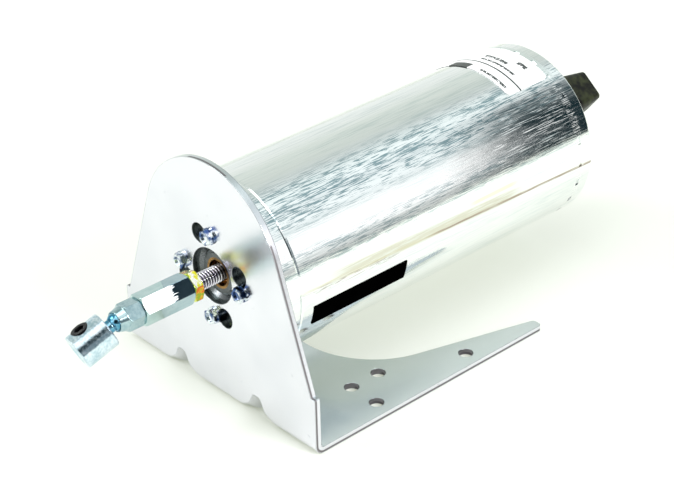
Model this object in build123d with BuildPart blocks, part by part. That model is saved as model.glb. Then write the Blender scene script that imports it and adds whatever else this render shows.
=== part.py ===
from build123d import *
from math import acos, atan2, cos, degrees, hypot, radians, sin, sqrt, tan
import os

# Pneumatic damper actuator on its folded bracket. Millimetres, +Z up.
# The shaft points along -Y, and the foot stands on Z = 0.
# The origin is the centre of the four outer holes of the foot, on its underside.

# Mounting bracket, folded from one sheet
sheet = 3.0
bend_radius = 1.5
bracket_width = 127.0
foot_length = 138.0
axis_height = 60.5
arch_radius = 44.0
arch_height = 70.5
shoulder_height = 28.0
shoulder_step = 2.5
corner_round = 0.8

# Foot: a round notch between two tapered legs, and two rectangles of holes
notch_radius = 43.0
notch_centre = 93.5
leg_tip_width = 5.0
leg_tip_round = 1.8
foot_hole_diameter = 6.75
first_hole_row = 42.0
outer_hole_edge = 7.9
outer_hole_spacing_y = 54.7
inner_hole_inset = 15.85
inner_hole_spacing_y = 15.9

# Gussets pressed into the fold: each is a round-bottomed dent that flares out at the corner
gusset_spacing = 50.8
gusset_leg = 11.5
gusset_floor = 4.8
gusset_width = 9.6
gusset_depth = 4.2
gusset_flare = 23.0
gusset_flare_rise = 2.1
gusset_round = 2.4
gusset_rim_round = 5.0

# Centre hole and keyhole slots
centre_hole_diameter = 26.0
fixing_circle_diameter = 39.0
fixing_angles = (0, 90, 180, 270)
keyhole_turn = 22.0
keyhole_slot_width = 4.8
keyhole_diameter = 9.3

# Cylinder shell, drawn in one piece
shell_diameter = 84.0
shell_wall = 1.0
shell_rear = 193.3
front_corner = 3.0
dish_diameter = 24.4
dish_depth = 1.7
bead_position = 13.6
bead_depth = 0.3
bead_width = 1.6
rim_round = 1.4
stake_from_rim = 8.3
stake_count = 24
stake_length = 3.6
stake_width = 1.8
stake_depth = 0.5
lip_width = 3.0

# Rear cover with its air port boss
cover_flange = 3.6
cover_clearance = 0.1
boss_offset_x = 11.5
boss_offset_z = 13.5
boss_reach = 28.0
boss_tip_width = 15.0
boss_turn = 38.8
boss_taper = 8.8
boss_corner_round = 2.0
boss_round = 0.7
port_diameter = 8.6
port_depth = 12.0
air_passage_diameter = 4.0
cover_recess_diameter = 66.0
cover_recess_depth = 1.2
cover_rib_count = 6
cover_rib_width = 2.4
stop_ring_inner_diameter = 19.0
stop_ring_outer_diameter = 27.0
stop_gap = 0.3

# Shaft and its bushing
shaft_diameter = 7.94
running_clearance = 0.05
thread_clearance = 0.02
bushing_body_diameter = 14.0
bushing_flange_diameter = 18.6
bushing_flange = 1.4
bushing_length = 19.0
bushing_recess_diameter = 12.0
bushing_recess_depth = 4.5
clip_diameter = 21.0
clip_thickness = 0.8
stroke = 60.0

# Screws that hold the bracket on the cylinder
screw_diameter = 4.0
screw_head_across_flats = 6.4
screw_head_height = 2.4
screw_head_chamfer = 0.4
screw_head_dimple = 0.7
washer_diameter = 7.6
washer_thickness = 0.8
washer_gap = 0.8
clinch_nut_across_flats = 8.0
clinch_nut_height = 3.4
screw_past_nut = 0.6

# Spring, piston and diaphragm
piston_wall = 1.5
piston_length = 44.0
piston_corner = 4.0
collar_diameter = 16.0
collar_length = 5.0
spring_wire = 4.0
spring_side_gap = 3.5
spring_turns = 7.0
diaphragm_thickness = 0.8
diaphragm_shell_gap = 1.0
diaphragm_piston_gap = 0.2
diaphragm_bead = 2.0
roll_width = 4.8
roll_reserve = 0.5
plate_diameter = 60.0
plate_thickness = 1.5
piston_nut_across_flats = 12.7
piston_nut_height = 5.0
shaft_past_nut = 1.2
shaft_end_gap = 6.7
shaft_chamfer = 0.8

# Hexagon pieces on the front of the shaft
hexagon_turn = 10.0
jam_nut_turn = 32.0
jam_nut_across_flats = 12.7
jam_nut_front = 14.0
jam_nut_height = 4.8
coupling_across_flats = 12.7
coupling_length = 25.4
coupling_thread_depth = 15.0
hexagon_chamfer = 0.7

# Ball joint
socket_across_flats = 11.1
socket_hexagon_length = 8.2
socket_shank_length = 9.0
nose_length = 3.8
nose_tip_diameter = 9.0
ball_diameter = 8.0
ball_clearance = 0.05
lip_past_centre = 1.0
seat_thickness = 1.2
seat_grip = 2.2
nose_round = 0.4
neck_diameter = 5.8
stud_shank_diameter = 6.0
stud_shank_length = 3.0
stud_end_gap = 0.2
swing_angle = 19.2
droop_angle = 26.0

# Rod connector
connector_gap = 4.7
connector_diameter = 15.9
connector_length = 15.9
connector_chamfer = 0.5
rod_bore_diameter = 8.2
rod_bore_depth = 11.2
rod_bore_chamfer = 0.9
set_screw_turn = 38.0
set_screw_position = 6.6
set_screw_diameter = 7.94
set_screw_length = 3.2
set_screw_socket = 4.4
set_screw_socket_depth = 1.8
set_screw_stand_in = 0.1
set_screw_drill = 6.6
set_screw_seat_gap = 0.1

# Labels
label_thickness = 0.25
label_gap = 0.1
rating_label_from_rim = 9.3
rating_label_width = 26.5
rating_label_start = 60.0
rating_label_arc = 90.0
rating_label_round = 3.0
side_strip_front = 20.4
side_strip_length = 53.6
side_strip_start = -21.0
side_strip_arc = 13.4

# Places that follow from the sizes above. Stations along Y are counted from the bracket's front face.
plate_front = -(first_hole_row + outer_hole_spacing_y / 2)
half_width = bracket_width / 2
outer_hole_spacing_x = bracket_width - 2 * outer_hole_edge
inner_hole_spacing_x = outer_hole_spacing_x - 2 * inner_hole_inset
fixing_circle_radius = fixing_circle_diameter / 2
shell_radius = shell_diameter / 2
shell_inner_radius = shell_radius - shell_wall
diaphragm_radius = shell_inner_radius - diaphragm_shell_gap
piston_radius = diaphragm_radius - roll_width - diaphragm_piston_gap
spring_radius = piston_radius - piston_wall - spring_side_gap - spring_wire / 2
shell_front = plate_front + sheet
dish_floor = shell_front + dish_depth
rim_end = plate_front + shell_rear
cover_rear = rim_end - shell_wall
cover_front = cover_rear - cover_flange
shaft_rear = cover_front - shaft_end_gap
piston_nut_rear = shaft_rear - shaft_past_nut
plate_rear = piston_nut_rear - piston_nut_height
disc_rear = plate_rear - plate_thickness
piston_head = disc_rear - diaphragm_thickness
jam_nut_front_y = plate_front - jam_nut_front
coupling_front = jam_nut_front_y - coupling_length
nose_rear = coupling_front - socket_hexagon_length
nose_tip = nose_rear - nose_length
ball_y = nose_tip + lip_past_centre

# Axes and planes
shaft_axis = Axis((0, 0, axis_height), (0, 1, 0))
profile_plane = Plane(origin=(0, 0, axis_height), x_dir=(0, 1, 0), z_dir=(1, 0, 0))
swing = radians(swing_angle)
droop = radians(droop_angle)
ball_centre = Vector(0, ball_y, axis_height)
shaft_direction = Vector(0, -1, 0)
sink_direction = Vector(-sin(swing), 0, -cos(swing))
rod_direction = shaft_direction * cos(droop) + sink_direction * sin(droop)
tilt_direction = sink_direction.cross(shaft_direction)
rise_direction = tilt_direction.cross(rod_direction)
screw_turn = radians(set_screw_turn)
screw_direction = rise_direction * cos(screw_turn) + tilt_direction * sin(screw_turn)
rod_axis = Axis(ball_centre, rod_direction)
rod_profile_plane = Plane(origin=ball_centre, x_dir=rod_direction, z_dir=tilt_direction)
rod_plane = Plane(origin=ball_centre, x_dir=tilt_direction, z_dir=rod_direction)


def facing_front(y, x=0, above_axis=0):
    """Plane square to the shaft at station y, seen from the front: X right, Z up."""
    return Plane(origin=(x, y, axis_height + above_axis), x_dir=(1, 0, 0), z_dir=(0, -1, 0))


def tangent_angle(centre, radius, point, side):
    """Angle, seen from the centre, where a line through the point touches the circle on one side."""
    dx = point[0] - centre[0]
    dy = point[1] - centre[1]
    return degrees(atan2(dy, dx) + side * acos(radius / hypot(dx, dy)))


def turned(*profile, plane=profile_plane, axis=shaft_axis, mode=Mode.ADD):
    """Turns a closed outline of (station, radius) points round an axis, in the current part."""
    with BuildSketch(plane) as outline:
        with BuildLine():
            Polyline(*profile, close=True)
        make_face()
    revolve(outline.sketch, axis=axis, mode=mode)


def round_cut(diameter, front, length):
    """Cuts a round hole on the shaft's axis, running rearwards from its front end."""
    with BuildSketch(facing_front(front)) as hole:
        Circle(diameter / 2)
    extrude(hole.sketch, amount=-length, mode=Mode.SUBTRACT)


def hexagon_bar(across_flats, front, length, turn):
    """Adds a hexagon bar with chamfered ends, running rearwards from its front face."""
    with BuildSketch(facing_front(front)) as section:
        RegularPolygon(across_flats / 2, 6, major_radius=False, rotation=turn)
    extrude(section.sketch, amount=-length)
    corner = across_flats / sqrt(3)
    rear = front + length
    turned(
        (front, 0),
        (front, across_flats / 2),
        (front + hexagon_chamfer, corner),
        (rear - hexagon_chamfer, corner),
        (rear, across_flats / 2),
        (rear, 0),
        mode=Mode.INTERSECT,
    )


def wrapped_label(front, width, start, arc):
    """Adds a thin sheet on the shell, from a start angle through an arc, counted from +X towards +Z."""
    outward = Vector(cos(radians(start)), 0, sin(radians(start)))
    along = Vector(0, 1, 0)
    with BuildSketch(Plane(origin=(0, 0, axis_height), x_dir=along, z_dir=along.cross(outward))) as section:
        with Locations((front + width / 2, shell_radius + label_gap + label_thickness / 2)):
            Rectangle(width, label_thickness)
    revolve(section.sketch, axis=Axis((0, 0, axis_height), (0, -1, 0)), revolution_arc=arc)


def write_part(part, label):
    """Names a finished piece and writes it."""
    part.label = label
    export_step(part, f"parts/{label}.step")


os.makedirs("parts", exist_ok=True)

# Mounting bracket: one folded sheet. First the gussets that are pressed into its fold: the dent
# outside and the ridge inside have one outline, square to the slope that joins plate and foot.
gusset_plane = Plane(
    origin=(0, plate_front + gusset_leg / 2, gusset_leg / 2), x_dir=(1, 0, 0), z_dir=(0, 1, -1)
)
flare_height = gusset_depth + gusset_flare_rise
with BuildSketch(gusset_plane) as dent_section:
    with BuildLine():
        Polyline(
            (-gusset_flare / 2, 2 * gusset_leg),
            (-gusset_flare / 2, flare_height),
            (-gusset_width / 2, gusset_depth),
            (-gusset_floor / 2, 0),
            (gusset_floor / 2, 0),
            (gusset_width / 2, gusset_depth),
            (gusset_flare / 2, flare_height),
            (gusset_flare / 2, 2 * gusset_leg),
            close=True,
        )
    make_face()
    fillet(dent_section.vertices().group_by(Axis.Y)[0], gusset_round)
    rim = dent_section.vertices().filter_by(lambda corner: abs(corner.Y - gusset_depth) < 0.01)
    fillet(rim, gusset_rim_round)

with BuildPart() as gusset_dent:
    extrude(dent_section.sketch, amount=2 * gusset_leg, both=True)

with BuildPart() as gusset_ridge:
    with BuildSketch(gusset_plane):
        add(dent_section.sketch_local)
        offset(amount=sheet)
    extrude(amount=2 * gusset_leg, both=True)
    with BuildSketch(Plane.YZ):
        with Locations((plate_front + sheet / 2, sheet / 2)):
            Rectangle(2 * gusset_leg, 2 * gusset_leg, align=(Align.MIN, Align.MIN))
    extrude(amount=gusset_flare, both=True, mode=Mode.INTERSECT)

keyhole_necks = [CenterArc((0, 0), fixing_circle_radius, angle, keyhole_turn) for angle in fixing_angles]

with BuildPart() as mounting_bracket:
    # The fold, seen from its end
    plate_top = arch_height + arch_radius
    foot_end = plate_front + foot_length
    with BuildSketch(Plane.YZ) as fold:
        with BuildLine():
            Polyline(
                (plate_front, plate_top),
                (plate_front, 0),
                (foot_end, 0),
                (foot_end, sheet),
                (plate_front + sheet, sheet),
                (plate_front + sheet, plate_top),
                close=True,
            )
        make_face()
        fillet(fold.vertices().sort_by_distance((plate_front + sheet, sheet))[0], bend_radius)
        fillet(fold.vertices().sort_by_distance((plate_front, 0))[0], bend_radius + sheet)
    extrude(amount=half_width, both=True)
    with GridLocations(gusset_spacing, 1, 2, 1):
        add(gusset_ridge.part)
    with GridLocations(gusset_spacing, 1, 2, 1):
        add(gusset_dent.part, mode=Mode.SUBTRACT)

    # The arched plate with its slanted sides and a step at each shoulder
    shoulder_x = half_width - shoulder_step
    arch_start = tangent_angle((0, arch_height), arch_radius, (shoulder_x, shoulder_height), 1)
    with BuildSketch(Plane.XZ) as plate_outline:
        with BuildLine():
            arch = CenterArc((0, arch_height), arch_radius, arch_start, 180 - 2 * arch_start)
            Polyline(
                arch @ 0,
                (shoulder_x, shoulder_height),
                (half_width, shoulder_height),
                (half_width, -sheet),
                (-half_width, -sheet),
                (-half_width, shoulder_height),
                (-shoulder_x, shoulder_height),
                arch @ 1,
            )
        make_face()
        for x in (half_width, shoulder_x, -shoulder_x, -half_width):
            shoulder = plate_outline.vertices().sort_by_distance((x, shoulder_height))[0]
            fillet(shoulder, corner_round)
    extrude(amount=foot_length, both=True, mode=Mode.INTERSECT)

    # The notch between the two tapered legs of the foot
    tip_x = half_width - leg_tip_width
    notch_y = plate_front + notch_centre
    notch_start = tangent_angle((0, notch_y), notch_radius, (tip_x, foot_end), -1)
    with BuildSketch(Plane.XY):
        with BuildLine():
            curve = CenterArc((0, notch_y), notch_radius, 180 - notch_start, 180 + 2 * notch_start)
            Polyline(
                curve @ 1,
                (tip_x, foot_end),
                (tip_x, foot_end + sheet),
                (-tip_x, foot_end + sheet),
                (-tip_x, foot_end),
                curve @ 0,
            )
        make_face()
    extrude(amount=sheet, mode=Mode.SUBTRACT)
    fillet(mounting_bracket.edges().filter_by(Axis.Z).group_by(Axis.Y)[-1], leg_tip_round)

    # Two rectangles of holes in the foot, with one row in common
    with BuildSketch(Plane.XY):
        with GridLocations(outer_hole_spacing_x, outer_hole_spacing_y, 2, 2):
            Circle(foot_hole_diameter / 2)
        with Locations((0, (inner_hole_spacing_y - outer_hole_spacing_y) / 2)):
            with GridLocations(inner_hole_spacing_x, inner_hole_spacing_y, 2, 2):
                Circle(foot_hole_diameter / 2)
    extrude(amount=sheet, mode=Mode.SUBTRACT)

    # Centre hole and keyhole slots: a screw head goes in at the round end and turns to the narrow one
    with BuildSketch(facing_front(plate_front)):
        Circle(centre_hole_diameter / 2)
        for neck in keyhole_necks:
            SlotArc(neck, keyhole_slot_width)
            with Locations(neck @ 1):
                Circle(keyhole_diameter / 2)
    extrude(amount=-sheet, mode=Mode.SUBTRACT)
write_part(mounting_bracket.part, "mounting_bracket")

# Cylinder shell: a deep-drawn can, dished round the bushing, staked and rolled over at the back
with BuildPart() as cylinder_shell:
    wall_hole = bushing_body_diameter / 2
    dish = dish_diameter / 2
    bead_y = plate_front + bead_position
    with BuildSketch(profile_plane) as can_wall:
        with BuildLine():
            Polyline(
                (dish_floor, wall_hole),
                (dish_floor, dish - dish_depth),
                (shell_front, dish),
                (shell_front, shell_radius),
                (bead_y - bead_width / 2, shell_radius),
                (bead_y, shell_radius - bead_depth),
                (bead_y + bead_width / 2, shell_radius),
                (rim_end, shell_radius),
                (rim_end, shell_radius - lip_width),
                (cover_rear, shell_radius - lip_width),
                (cover_rear, shell_inner_radius),
                (shell_front + shell_wall, shell_inner_radius),
                (shell_front + shell_wall, dish + shell_wall / 2),
                (dish_floor + shell_wall, dish - dish_depth + shell_wall / 2),
                (dish_floor + shell_wall, wall_hole),
                close=True,
            )
        make_face()
        fillet(can_wall.vertices().sort_by_distance((shell_front, shell_radius))[0], front_corner)
        inner_corner = (shell_front + shell_wall, shell_inner_radius)
        chamfer(can_wall.vertices().sort_by_distance(inner_corner)[0], front_corner - shell_wall)
        fillet(can_wall.vertices().sort_by_distance((rim_end, shell_radius))[0], rim_round)
    revolve(axis=shaft_axis)
    # Flat stake marks in a ring over the cover's flange
    with Locations(facing_front(rim_end - stake_from_rim)):
        with PolarLocations(shell_radius, stake_count):
            Box(2 * stake_depth, stake_length, stake_width, mode=Mode.SUBTRACT)
    # Clearance holes for the fixing screws
    with BuildSketch(facing_front(shell_front)):
        with PolarLocations(fixing_circle_radius, len(fixing_angles)):
            Circle(screw_diameter / 2 + thread_clearance)
    extrude(amount=-shell_wall, mode=Mode.SUBTRACT)
write_part(cylinder_shell.part, "cylinder_shell")

# Rear cover: one black moulding with radial ribs and a tapered, rounded square boss for the air port.
# The ring inside it is the stop that the piston's plate comes back to.
with BuildPart() as rear_cover:
    cover_radius = shell_inner_radius - cover_clearance
    recess_radius = cover_recess_diameter / 2
    recess_floor = cover_rear - cover_recess_depth
    turned(
        (cover_front, 0),
        (cover_front, stop_ring_inner_diameter / 2),
        (plate_rear + stop_gap, stop_ring_inner_diameter / 2),
        (plate_rear + stop_gap, stop_ring_outer_diameter / 2),
        (cover_front, stop_ring_outer_diameter / 2),
        (cover_front, cover_radius),
        (cover_rear, cover_radius),
        (cover_rear, recess_radius + cover_recess_depth / 2),
        (recess_floor, recess_radius),
        (recess_floor, 0),
    )
    with BuildSketch(facing_front(recess_floor)):
        with PolarLocations(0, cover_rib_count):
            with Locations((recess_radius / 2, 0)):
                Rectangle(recess_radius, cover_rib_width)
    extrude(amount=-cover_recess_depth)
    boss_tip = rim_end + boss_reach
    boss_length = boss_tip - recess_floor
    boss_spread = boss_length * tan(radians(boss_taper))
    boss_width = boss_tip_width + 2 * boss_spread
    with BuildSketch(-facing_front(recess_floor, boss_offset_x, boss_offset_z)):
        RectangleRounded(boss_width, boss_width, boss_corner_round + boss_spread, rotation=boss_turn)
    extrude(amount=boss_length, taper=boss_taper)
    fillet(rear_cover.edges().group_by(Axis.Y)[-1], boss_round)
    with BuildSketch(facing_front(boss_tip, boss_offset_x, boss_offset_z)):
        Circle(port_diameter / 2)
    extrude(amount=port_depth, mode=Mode.SUBTRACT)
    with BuildSketch(facing_front(boss_tip, boss_offset_x, boss_offset_z)):
        Circle(air_passage_diameter / 2)
    extrude(amount=boss_tip - cover_front, mode=Mode.SUBTRACT)
write_part(rear_cover.part, "rear_cover")

# Front bushing: turned bronze, its flange in the dish of the shell
with BuildPart() as front_bushing:
    bushing_bore = shaft_diameter / 2 + running_clearance
    bushing_front = dish_floor - bushing_flange
    bushing_rear = bushing_front + bushing_length
    turned(
        (bushing_front, bushing_recess_diameter / 2),
        (bushing_front, bushing_flange_diameter / 2),
        (dish_floor, bushing_flange_diameter / 2),
        (dish_floor, bushing_body_diameter / 2),
        (bushing_rear, bushing_body_diameter / 2),
        (bushing_rear, bushing_bore),
        (bushing_front + bushing_recess_depth, bushing_bore),
        (bushing_front + bushing_recess_depth, bushing_recess_diameter / 2),
    )
write_part(front_bushing.part, "front_bushing")

# Clip pushed over the bushing, inside the front wall
with BuildPart() as bushing_clip:
    turned(
        (dish_floor + shell_wall, bushing_body_diameter / 2),
        (dish_floor + shell_wall, clip_diameter / 2),
        (dish_floor + shell_wall + clip_thickness, clip_diameter / 2),
        (dish_floor + shell_wall + clip_thickness, bushing_body_diameter / 2),
    )
write_part(bushing_clip.part, "bushing_clip")

# Screws, lock washers and clinch nuts that hold the bracket on the shell
screw_seat = plate_front - washer_thickness
nut_seat = shell_front + shell_wall
with BuildPart() as fixing_screws:
    head_front = screw_seat - screw_head_height
    with BuildSketch(facing_front(head_front)):
        with PolarLocations(fixing_circle_radius, len(fixing_angles)):
            RegularPolygon(screw_head_across_flats / 2, 6, major_radius=False)
    extrude(amount=-screw_head_height)
    chamfer(fixing_screws.edges().group_by(Axis.Y)[0], screw_head_chamfer)
    with BuildSketch(facing_front(head_front)):
        with PolarLocations(fixing_circle_radius, len(fixing_angles)):
            Circle(screw_diameter / 2)
    extrude(amount=-screw_head_dimple, mode=Mode.SUBTRACT)
    with BuildSketch(facing_front(screw_seat)):
        with PolarLocations(fixing_circle_radius, len(fixing_angles)):
            Circle(screw_diameter / 2)
    extrude(amount=-(nut_seat + clinch_nut_height + screw_past_nut - screw_seat))
write_part(fixing_screws.part, "fixing_screws")

with BuildPart() as lock_washers:
    with BuildSketch(facing_front(screw_seat)):
        with PolarLocations(fixing_circle_radius, len(fixing_angles)):
            Circle(washer_diameter / 2)
            Circle(screw_diameter / 2 + thread_clearance, mode=Mode.SUBTRACT)
            with Locations((washer_diameter / 2, 0)):
                Rectangle(washer_diameter, washer_gap, mode=Mode.SUBTRACT)
    extrude(amount=-washer_thickness)
write_part(lock_washers.part, "lock_washers")

with BuildPart() as clinch_nuts:
    with BuildSketch(facing_front(nut_seat)):
        with PolarLocations(fixing_circle_radius, len(fixing_angles)):
            RegularPolygon(clinch_nut_across_flats / 2, 6, major_radius=False)
            Circle(screw_diameter / 2 + thread_clearance, mode=Mode.SUBTRACT)
    extrude(amount=-clinch_nut_height)
write_part(clinch_nuts.part, "clinch_nuts")

# Return spring, with both ends ground flat. It is sealed in, so its round wire has six flats.
with BuildPart() as return_spring:
    spring_length = piston_head - piston_wall - nut_seat
    with BuildLine():
        coil = Helix(
            pitch=(spring_length - spring_wire / 2) / spring_turns,
            height=spring_length - spring_wire / 2,
            radius=spring_radius,
            center=(0, nut_seat + spring_wire / 4, axis_height),
            direction=(0, 1, 0),
        )
    with BuildSketch(Plane(origin=coil @ 0, z_dir=coil % 0)):
        RegularPolygon(spring_wire / 2, 6)
    sweep(path=coil, is_frenet=True)
    with BuildSketch(facing_front(nut_seat)):
        Circle(spring_radius + spring_wire)
    extrude(amount=-spring_length, mode=Mode.INTERSECT)
write_part(return_spring.part, "return_spring")

# Piston: a deep cup, open to the front, with the spring inside
with BuildPart() as piston:
    piston_front = piston_head - piston_length
    shaft_hole = shaft_diameter / 2 + thread_clearance
    with BuildSketch(profile_plane) as cup_wall:
        with BuildLine():
            Polyline(
                (piston_front, piston_radius),
                (piston_head, piston_radius),
                (piston_head, shaft_hole),
                (piston_head - piston_wall, shaft_hole),
                (piston_head - piston_wall, piston_radius - piston_wall),
                (piston_front, piston_radius - piston_wall),
                close=True,
            )
        make_face()
        inner_corner = (piston_head - piston_wall, piston_radius - piston_wall)
        chamfer(cup_wall.vertices().sort_by_distance((piston_head, piston_radius))[0], piston_corner)
        chamfer(cup_wall.vertices().sort_by_distance(inner_corner)[0], piston_corner - piston_wall)
    revolve(axis=shaft_axis)
write_part(piston.part, "piston")

# Rolling diaphragm: bead under the cover, one fold along the shell, and a disc over the piston.
# The fold travels half as far as the piston, so the inner wall is half the stroke long.
with BuildPart() as diaphragm:
    inner_wall = piston_radius + diaphragm_piston_gap
    fold_y = piston_head - stroke / 2 - roll_reserve
    with BuildSketch(profile_plane) as rubber:
        with BuildLine():
            Polyline(
                (fold_y - diaphragm_thickness, diaphragm_radius),
                (cover_front - diaphragm_bead, diaphragm_radius),
                (cover_front - diaphragm_bead, cover_radius),
                (cover_front, cover_radius),
                (cover_front, diaphragm_radius - diaphragm_thickness),
                (fold_y, diaphragm_radius - diaphragm_thickness),
                (fold_y, inner_wall + diaphragm_thickness),
                (disc_rear, inner_wall + diaphragm_thickness),
                (disc_rear, shaft_hole),
                (piston_head, shaft_hole),
                (piston_head, inner_wall),
                (fold_y - diaphragm_thickness, inner_wall),
                close=True,
            )
        make_face()
        fold_front = fold_y - diaphragm_thickness
        for radius in (diaphragm_radius, inner_wall):
            fold_corner = rubber.vertices().sort_by_distance((fold_front, radius))[0]
            chamfer(fold_corner, diaphragm_thickness)
        outer_corner = (disc_rear, inner_wall + diaphragm_thickness)
        inner_corner = (piston_head, inner_wall)
        chamfer(rubber.vertices().sort_by_distance(outer_corner)[0], piston_corner)
        chamfer(rubber.vertices().sort_by_distance(inner_corner)[0], piston_corner)
    revolve(axis=shaft_axis)
write_part(diaphragm.part, "diaphragm")

# Clamping plate, nut and collar that hold the piston on the shaft
with BuildPart() as piston_plate:
    turned(
        (disc_rear, shaft_hole),
        (disc_rear, plate_diameter / 2),
        (plate_rear, plate_diameter / 2),
        (plate_rear, shaft_hole),
    )
    chamfer(piston_plate.edges().group_by(Axis.Y)[-1].sort_by(SortBy.LENGTH)[-1], plate_thickness / 3)
write_part(piston_plate.part, "piston_plate")

with BuildPart() as piston_nut:
    hexagon_bar(piston_nut_across_flats, plate_rear, piston_nut_height, hexagon_turn)
    round_cut(2 * shaft_hole, plate_rear, piston_nut_height)
write_part(piston_nut.part, "piston_nut")

with BuildPart() as shaft_collar:
    collar_rear = piston_head - piston_wall
    turned(
        (collar_rear - collar_length, shaft_hole),
        (collar_rear - collar_length, collar_diameter / 2),
        (collar_rear, collar_diameter / 2),
        (collar_rear, shaft_hole),
    )
write_part(shaft_collar.part, "shaft_collar")

# Shaft: from inside the coupling to just past the piston nut
with BuildPart() as piston_shaft:
    shaft_front = jam_nut_front_y - coupling_thread_depth
    with BuildSketch(facing_front(shaft_front)):
        Circle(shaft_diameter / 2)
    extrude(amount=shaft_front - shaft_rear)
    chamfer(piston_shaft.edges().filter_by(GeomType.CIRCLE), shaft_chamfer)
write_part(piston_shaft.part, "piston_shaft")

# Jam nut and long coupling on the shaft's thread
with BuildPart() as jam_nut:
    hexagon_bar(jam_nut_across_flats, jam_nut_front_y, jam_nut_height, jam_nut_turn)
    round_cut(2 * shaft_hole, jam_nut_front_y, jam_nut_height)
write_part(jam_nut.part, "jam_nut")

with BuildPart() as shaft_coupling:
    hexagon_bar(coupling_across_flats, coupling_front, coupling_length, hexagon_turn)
    round_cut(2 * shaft_hole, coupling_front, coupling_length)
write_part(shaft_coupling.part, "shaft_coupling")

# Ball socket: hexagon with a threaded shank behind it and a nose swaged over the ball
ball_radius = ball_diameter / 2
cavity_radius = ball_radius + ball_clearance
seat_rear = ball_y + ball_radius + seat_thickness
with BuildPart() as ball_socket:
    hexagon_bar(socket_across_flats, nose_rear, socket_hexagon_length, hexagon_turn)
    turned(
        (nose_tip, 0),
        (nose_tip, nose_tip_diameter / 2),
        (nose_rear, socket_across_flats / 2),
        (nose_rear + hexagon_chamfer, socket_across_flats / 2),
        (nose_rear + hexagon_chamfer, 0),
    )
    fillet(ball_socket.edges().filter_by(GeomType.CIRCLE).sort_by(Axis.Y)[0], nose_round)
    with BuildSketch(facing_front(coupling_front)):
        Circle(shaft_diameter / 2)
    extrude(amount=-socket_shank_length)
    round_cut(2 * cavity_radius, ball_y, seat_rear - ball_y)
    with Locations(ball_centre):
        Sphere(cavity_radius, mode=Mode.SUBTRACT)
write_part(ball_socket.part, "ball_socket")

# Seat ring at the bottom of the socket: the ball bears on its hollow face
with BuildPart() as ball_seat:
    seat_front = ball_y + seat_grip
    with BuildSketch(facing_front(seat_front)):
        Circle(cavity_radius - running_clearance)
    extrude(amount=seat_front - seat_rear)
    with Locations(ball_centre):
        Sphere(cavity_radius, mode=Mode.SUBTRACT)
write_part(ball_seat.part, "ball_seat")

# Ball stud: ball, neck, and a shank inside the connector
with BuildPart() as ball_stud:
    with Locations(ball_centre):
        Sphere(ball_radius)
    with BuildSketch(rod_plane):
        Circle(neck_diameter / 2)
    extrude(amount=connector_gap)
    with BuildSketch(rod_plane.offset(connector_gap)):
        Circle(stud_shank_diameter / 2)
    extrude(amount=stud_shank_length)
write_part(ball_stud.part, "ball_stud")

# Rod connector: turned, bored for the rod, with a cross hole for the set screw
connector_radius = connector_diameter / 2
connector_front = connector_gap + connector_length
set_screw_end = connector_radius - set_screw_stand_in - set_screw_length
set_screw_plane = Plane(
    origin=ball_centre + rod_direction * (connector_front - set_screw_position),
    x_dir=rod_direction,
    z_dir=screw_direction,
)
with BuildPart() as rod_connector:
    stud_hole = stud_shank_diameter / 2 + running_clearance
    stud_hole_end = connector_gap + stud_shank_length + stud_end_gap
    bore_end = connector_front - rod_bore_depth
    turned(
        (connector_gap, stud_hole),
        (connector_gap, connector_radius - connector_chamfer),
        (connector_gap + connector_chamfer, connector_radius),
        (connector_front - connector_chamfer, connector_radius),
        (connector_front, connector_radius - connector_chamfer),
        (connector_front, rod_bore_diameter / 2 + rod_bore_chamfer),
        (connector_front - rod_bore_chamfer, rod_bore_diameter / 2),
        (bore_end, rod_bore_diameter / 2),
        (bore_end, 0),
        (stud_hole_end, 0),
        (stud_hole_end, stud_hole),
        plane=rod_profile_plane,
        axis=rod_axis,
    )
    with BuildSketch(set_screw_plane):
        Circle(set_screw_drill / 2)
    extrude(amount=connector_radius, mode=Mode.SUBTRACT)
    with BuildSketch(set_screw_plane.offset(set_screw_end - set_screw_seat_gap)):
        Circle(set_screw_diameter / 2 + thread_clearance)
    extrude(amount=connector_radius, mode=Mode.SUBTRACT)
write_part(rod_connector.part, "rod_connector")

# Set screw with a hexagon socket, just clear of the rod's bore
with BuildPart() as set_screw:
    with BuildSketch(set_screw_plane.offset(connector_radius - set_screw_stand_in)):
        Circle(set_screw_diameter / 2)
    extrude(amount=-set_screw_length)
    with BuildSketch(set_screw_plane.offset(connector_radius - set_screw_stand_in)):
        RegularPolygon(set_screw_socket / 2, 6, major_radius=False)
    extrude(amount=-set_screw_socket_depth, mode=Mode.SUBTRACT)
write_part(set_screw.part, "set_screw")

# Labels wrapped round the shell
with BuildPart() as rating_label:
    label_front = rim_end - rating_label_from_rim - rating_label_width
    wrapped_label(label_front, rating_label_width, rating_label_start, rating_label_arc)
    corner_edges = rating_label.edges().filter_by(lambda edge: edge.length < 2 * label_thickness)
    fillet(corner_edges, rating_label_round)
write_part(rating_label.part, "rating_label")

with BuildPart() as side_strip:
    wrapped_label(plate_front + side_strip_front, side_strip_length, side_strip_start, side_strip_arc)
write_part(side_strip.part, "side_strip")
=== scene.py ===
import math

import bmesh
import bpy
from mathutils import Euler, Matrix, Vector


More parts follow.
